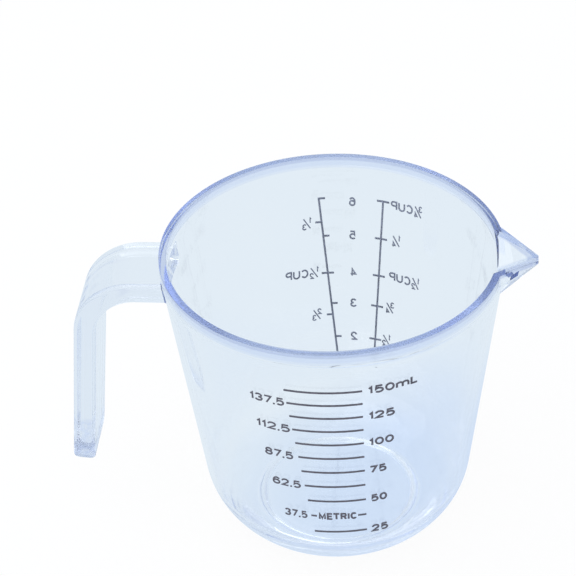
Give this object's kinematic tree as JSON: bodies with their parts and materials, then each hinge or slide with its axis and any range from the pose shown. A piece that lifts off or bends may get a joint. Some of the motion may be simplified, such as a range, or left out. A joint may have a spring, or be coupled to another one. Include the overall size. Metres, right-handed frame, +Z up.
{
  "type": "measuring cup",
  "caption": "Small clear plastic measuring cup: tapered bowl on a foot ring, rim band, V pouring spout, open hook handle and printed volume scales",
  "frame": {"origin": "middle of the bounding box on the plane that the foot ring stands on; the bowl's own axis stands 7.7 mm from it towards +X", "axes": "+X from the handle to the spout, +Y to the back with the ounce and cup scales, +Z up"},
  "size_m": [0.1, 0.0712, 0.0679],
  "materials": {
    "clear_plastic": "clear, glossy, faintly blue",
    "ink": "matt printed ink, dark grey"
  },
  "bodies": {
    "root": {"cup_bowl": "clear_plastic", "rim_band": "clear_plastic", "pour_spout": "clear_plastic", "handle": "clear_plastic", "mark_150_ml": "ink", "mark_137.5_ml": "ink", "mark_125_ml": "ink", "mark_112.5_ml": "ink", "mark_100_ml": "ink", "mark_87.5_ml": "ink", "mark_75_ml": "ink", "mark_62.5_ml": "ink", "mark_50_ml": "ink", "mark_37.5_ml_left": "ink", "mark_37.5_ml_right": "ink", "mark_25_ml": "ink", "ounce_scale": "ink", "cup_scale": "ink"}
  },
  "joints": []
}
